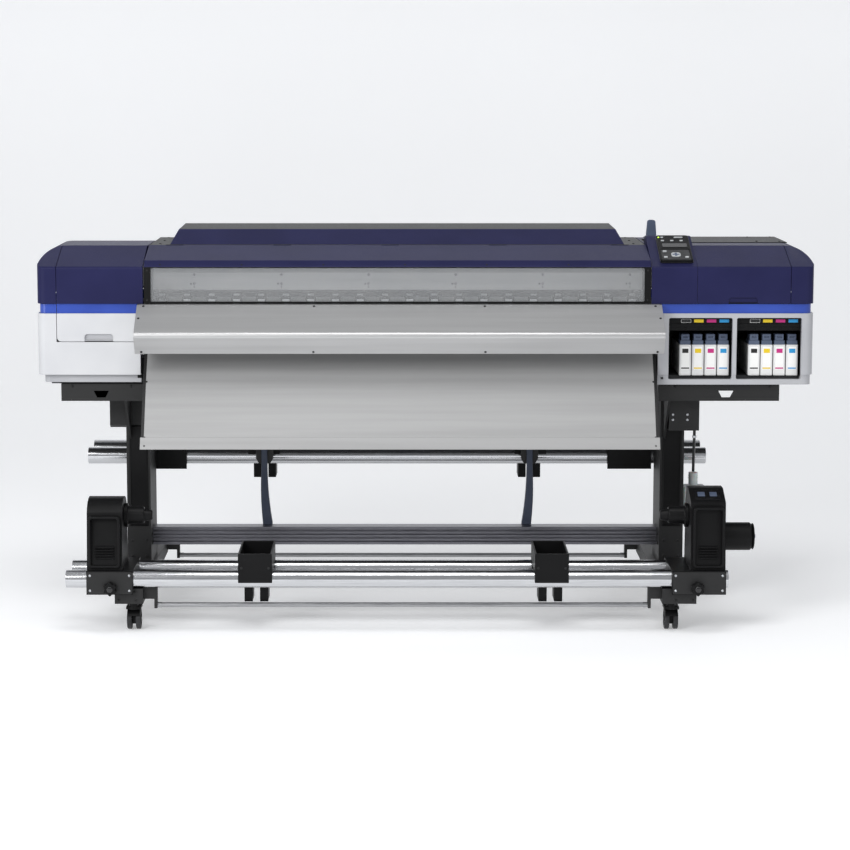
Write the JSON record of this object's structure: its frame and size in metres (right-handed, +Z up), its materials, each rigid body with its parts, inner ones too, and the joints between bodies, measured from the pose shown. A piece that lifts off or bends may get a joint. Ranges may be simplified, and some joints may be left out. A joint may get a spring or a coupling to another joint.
{
  "type": "wide-format roll printer",
  "caption": "Wide roll-to-roll sign printer: shrouded head with lift-up window and ink bays, on a castered stand with take-up and supply roll holders.",
  "frame": {"origin": "middle of the machine's footprint, on the floor that the casters stand on", "axes": "+X to the right of a person facing the machine, along its length; front towards -Y; +Z up"},
  "size_m": [2.62, 1.085, 1.342],
  "materials": {
    "black_steel": "satin powder coat",
    "anodised_extrusion": "anodised extrusion",
    "polished_pipe": "polished tube",
    "caster_moulding": "moulded nylon",
    "caster_tread": "matt tread",
    "navy_abs": "fine textured moulding",
    "white_abs": "fine textured moulding",
    "silver_abs": "silver-grey moulding",
    "clear_window": "clear acrylic",
    "grey_sheet": "light grey coated sheet",
    "roller_steel": "ground grit roller",
    "black_moulding": "moulded black plastic",
    "slate_grip": "slate moulded grip",
    "cartridge_shell": "white cartridge shell",
    "milky_bottle": "milky polyethylene",
    "tube_rubber": "black flexible tube"
  },
  "bodies": {
    "machine": {"leg_left": "black_steel", "leg_right": "black_steel", "stand_crossbeam": "anodised_extrusion", "front_tie_bar": "anodised_extrusion", "rear_tie_bar": "anodised_extrusion", "front_rail_outer": "polished_pipe", "front_rail_inner": "polished_pipe", "rear_rail_inner": "polished_pipe", "rear_rail_outer": "polished_pipe", "chassis": "black_steel", "beam_cover": "grey_sheet", "left_upper_shell": "navy_abs", "right_upper_shell": "navy_abs", "left_lower_shell": "white_abs", "right_lower_frame": "silver_abs", "top_cover": "navy_abs", "after_heater_guide": "grey_sheet", "dryer_hood": "grey_sheet", "control_panel": "black_moulding", "waste_tube": "tube_rubber"},
    "left_cover": {"left_maintenance_cover": "navy_abs"},
    "right_cover": {"right_maintenance_cover": "navy_abs"},
    "window_cover": {"front_cover": "navy_abs", "front_window": "clear_window"},
    "loading_lever": {"media_loading_lever": "slate_grip"},
    "pinch_rollers": {"pinch_roller_bar": "black_moulding"},
    "feed_roller": {"feed_roller": "roller_steel"},
    "carriage": {"print_carriage": "black_moulding"},
    "keys": {"keypad": "slate_grip"},
    "bottle": {"waste_bottle": "milky_bottle"},
    "caster_fork_front_left": {"caster_fork_front_left": "caster_moulding"},
    "caster_wheel_front_left": {"caster_wheel_front_left": "caster_tread"},
    "caster_fork_rear_left": {"caster_fork_rear_left": "caster_moulding"},
    "caster_wheel_rear_left": {"caster_wheel_rear_left": "caster_tread"},
    "caster_fork_front_right": {"caster_fork_front_right": "caster_moulding"},
    "caster_wheel_front_right": {"caster_wheel_front_right": "caster_tread"},
    "caster_fork_rear_right": {"caster_fork_rear_right": "caster_moulding"},
    "caster_wheel_rear_right": {"caster_wheel_rear_right": "caster_tread"},
    "take_up_holder_left": {"take_up_holder_left": "black_moulding"},
    "take_up_core_left": {"take_up_core_left": "black_moulding"},
    "take_up_knob_left": {"take_up_knob_left": "black_moulding"},
    "feed_holder_left": {"feed_holder_left": "black_moulding"},
    "feed_core_left": {"feed_core_left": "black_moulding"},
    "take_up_support_left": {"take_up_support_left": "black_moulding"},
    "feed_support_left": {"feed_support_left": "black_moulding"},
    "take_up_holder_right": {"take_up_holder_right": "black_moulding"},
    "take_up_core_right": {"take_up_core_right": "black_moulding"},
    "take_up_knob_right": {"take_up_knob_right": "black_moulding"},
    "feed_holder_right": {"feed_holder_right": "black_moulding"},
    "feed_core_right": {"feed_core_right": "black_moulding"},
    "take_up_support_right": {"take_up_support_right": "black_moulding"},
    "feed_support_right": {"feed_support_right": "black_moulding"},
    "cartridge_black_left": {"cartridge_black_left": "cartridge_shell"},
    "cartridge_yellow_left": {"cartridge_yellow_left": "cartridge_shell"},
    "cartridge_magenta_left": {"cartridge_magenta_left": "cartridge_shell"},
    "cartridge_cyan_left": {"cartridge_cyan_left": "cartridge_shell"},
    "cartridge_black_right": {"cartridge_black_right": "cartridge_shell"},
    "cartridge_yellow_right": {"cartridge_yellow_right": "cartridge_shell"},
    "cartridge_magenta_right": {"cartridge_magenta_right": "cartridge_shell"},
    "cartridge_cyan_right": {"cartridge_cyan_right": "cartridge_shell"}
  },
  "joints": [
    {"name": "left_cover_hinge", "type": "hinge", "parent": "machine", "child": "left_cover", "pos_m": [-1.0975, -0.055, 1.2625], "axis": [-1, 0, 0], "range_deg": [0, 80]},
    {"name": "right_cover_hinge", "type": "hinge", "parent": "machine", "child": "right_cover", "pos_m": [1.0725, -0.055, 1.2625], "axis": [-1, 0, 0], "range_deg": [0, 80]},
    {"name": "window_cover_hinge", "type": "hinge", "parent": "machine", "child": "window_cover", "pos_m": [-0.0945, -0.03, 1.2635], "axis": [-1, 0, 0], "range_deg": [0, 70]},
    {"name": "loading_lever_hinge", "type": "hinge", "parent": "machine", "child": "loading_lever", "pos_m": [0.791, 0.116, 1.206], "axis": [-1, 0, 0], "range_deg": [0, 45]},
    {"name": "pinch_roller_lift", "type": "slide", "parent": "machine", "child": "pinch_rollers", "axis": [0, 0, 1], "range_m": [0, 0.01]},
    {"name": "feed_roller_spin", "type": "hinge", "parent": "machine", "child": "feed_roller", "pos_m": [0, -0.078, 1.056], "axis": [1, 0, 0], "continuous": true},
    {"name": "carriage_travel", "type": "slide", "parent": "machine", "child": "carriage", "axis": [1, 0, 0], "range_m": [-2.1, 0.06]},
    {"name": "keypad_press", "type": "slide", "parent": "machine", "child": "keys", "axis": [0, 0.3559, -0.9345], "range_m": [0, 0.0012], "stiffness_N_per_m": 400},
    {"name": "waste_bottle_slide", "type": "slide", "parent": "machine", "child": "bottle", "axis": [1, 0, 0], "range_m": [0, 0.12]},
    {"name": "caster_swivel_front_left", "type": "hinge", "parent": "machine", "child": "caster_fork_front_left", "pos_m": [-0.977, -0.43, 0.0997], "axis": [0, 0, 1], "continuous": true},
    {"name": "caster_roll_front_left", "type": "hinge", "parent": "caster_fork_front_left", "child": "caster_wheel_front_left", "pos_m": [-0.977, -0.412, 0.034], "axis": [1, 0, 0], "continuous": true},
    {"name": "caster_swivel_rear_left", "type": "hinge", "parent": "machine", "child": "caster_fork_rear_left", "pos_m": [-0.977, 0.394, 0.0997], "axis": [0, 0, 1], "continuous": true},
    {"name": "caster_roll_rear_left", "type": "hinge", "parent": "caster_fork_rear_left", "child": "caster_wheel_rear_left", "pos_m": [-0.977, 0.412, 0.034], "axis": [1, 0, 0], "continuous": true},
    {"name": "caster_swivel_front_right", "type": "hinge", "parent": "machine", "child": "caster_fork_front_right", "pos_m": [0.822, -0.43, 0.0997], "axis": [0, 0, 1], "continuous": true},
    {"name": "caster_roll_front_right", "type": "hinge", "parent": "caster_fork_front_right", "child": "caster_wheel_front_right", "pos_m": [0.822, -0.412, 0.034], "axis": [1, 0, 0], "continuous": true},
    {"name": "caster_swivel_rear_right", "type": "hinge", "parent": "machine", "child": "caster_fork_rear_right", "pos_m": [0.822, 0.394, 0.0997], "axis": [0, 0, 1], "continuous": true},
    {"name": "caster_roll_rear_right", "type": "hinge", "parent": "caster_fork_rear_right", "child": "caster_wheel_rear_right", "pos_m": [0.822, 0.412, 0.034], "axis": [1, 0, 0], "continuous": true},
    {"name": "take_up_holder_slide_left", "type": "slide", "parent": "machine", "child": "take_up_holder_left", "axis": [1, 0, 0], "range_m": [-0.06, 0.25]},
    {"name": "take_up_core_spin_left", "type": "hinge", "parent": "take_up_holder_left", "child": "take_up_core_left", "pos_m": [-1.008, -0.38, 0.381], "axis": [1, 0, 0], "continuous": true},
    {"name": "take_up_knob_turn_left", "type": "hinge", "parent": "take_up_holder_left", "child": "take_up_knob_left", "pos_m": [-1.045, -0.5105, 0.158], "axis": [0, 1, 0], "continuous": true},
    {"name": "feed_holder_slide_left", "type": "slide", "parent": "machine", "child": "feed_holder_left", "axis": [1, 0, 0], "range_m": [-0.02, 0.18]},
    {"name": "feed_core_spin_left", "type": "hinge", "parent": "feed_holder_left", "child": "feed_core_left", "pos_m": [-0.9, 0.3035, 0.69], "axis": [1, 0, 0], "continuous": true},
    {"name": "take_up_support_slide_left", "type": "slide", "parent": "machine", "child": "take_up_support_left", "axis": [1, 0, 0], "range_m": [-0.04, 0.35]},
    {"name": "feed_support_slide_left", "type": "slide", "parent": "machine", "child": "feed_support_left", "axis": [1, 0, 0], "range_m": [-0.02, 0.35]},
    {"name": "take_up_holder_slide_right", "type": "slide", "parent": "machine", "child": "take_up_holder_right", "axis": [1, 0, 0], "range_m": [-0.25, 0.05]},
    {"name": "take_up_core_spin_right", "type": "hinge", "parent": "take_up_holder_right", "child": "take_up_core_right", "pos_m": [0.878, -0.38, 0.381], "axis": [1, 0, 0], "continuous": true},
    {"name": "take_up_knob_turn_right", "type": "hinge", "parent": "take_up_holder_right", "child": "take_up_knob_right", "pos_m": [0.899, -0.5105, 0.158], "axis": [0, 1, 0], "continuous": true},
    {"name": "feed_holder_slide_right", "type": "slide", "parent": "machine", "child": "feed_holder_right", "axis": [1, 0, 0], "range_m": [-0.18, 0.02]},
    {"name": "feed_core_spin_right", "type": "hinge", "parent": "feed_holder_right", "child": "feed_core_right", "pos_m": [0.708, 0.3035, 0.69], "axis": [1, 0, 0], "continuous": true},
    {"name": "take_up_support_slide_right", "type": "slide", "parent": "machine", "child": "take_up_support_right", "axis": [1, 0, 0], "range_m": [-0.35, 0.04]},
    {"name": "feed_support_slide_right", "type": "slide", "parent": "machine", "child": "feed_support_right", "axis": [1, 0, 0], "range_m": [-0.35, 0.02]},
    {"name": "cartridge_black_left_slide", "type": "slide", "parent": "machine", "child": "cartridge_black_left", "axis": [0, -1, 0], "range_m": [0, 0.2]},
    {"name": "cartridge_yellow_left_slide", "type": "slide", "parent": "machine", "child": "cartridge_yellow_left", "axis": [0, -1, 0], "range_m": [0, 0.2]},
    {"name": "cartridge_magenta_left_slide", "type": "slide", "parent": "machine", "child": "cartridge_magenta_left", "axis": [0, -1, 0], "range_m": [0, 0.2]},
    {"name": "cartridge_cyan_left_slide", "type": "slide", "parent": "machine", "child": "cartridge_cyan_left", "axis": [0, -1, 0], "range_m": [0, 0.2]},
    {"name": "cartridge_black_right_slide", "type": "slide", "parent": "machine", "child": "cartridge_black_right", "axis": [0, -1, 0], "range_m": [0, 0.2]},
    {"name": "cartridge_yellow_right_slide", "type": "slide", "parent": "machine", "child": "cartridge_yellow_right", "axis": [0, -1, 0], "range_m": [0, 0.2]},
    {"name": "cartridge_magenta_right_slide", "type": "slide", "parent": "machine", "child": "cartridge_magenta_right", "axis": [0, -1, 0], "range_m": [0, 0.2]},
    {"name": "cartridge_cyan_right_slide", "type": "slide", "parent": "machine", "child": "cartridge_cyan_right", "axis": [0, -1, 0], "range_m": [0, 0.2]}
  ],
  "couplings": [
    {"joint": "pinch_roller_lift", "follows": "loading_lever_hinge", "m_per_rad": 0.0127}
  ]
}
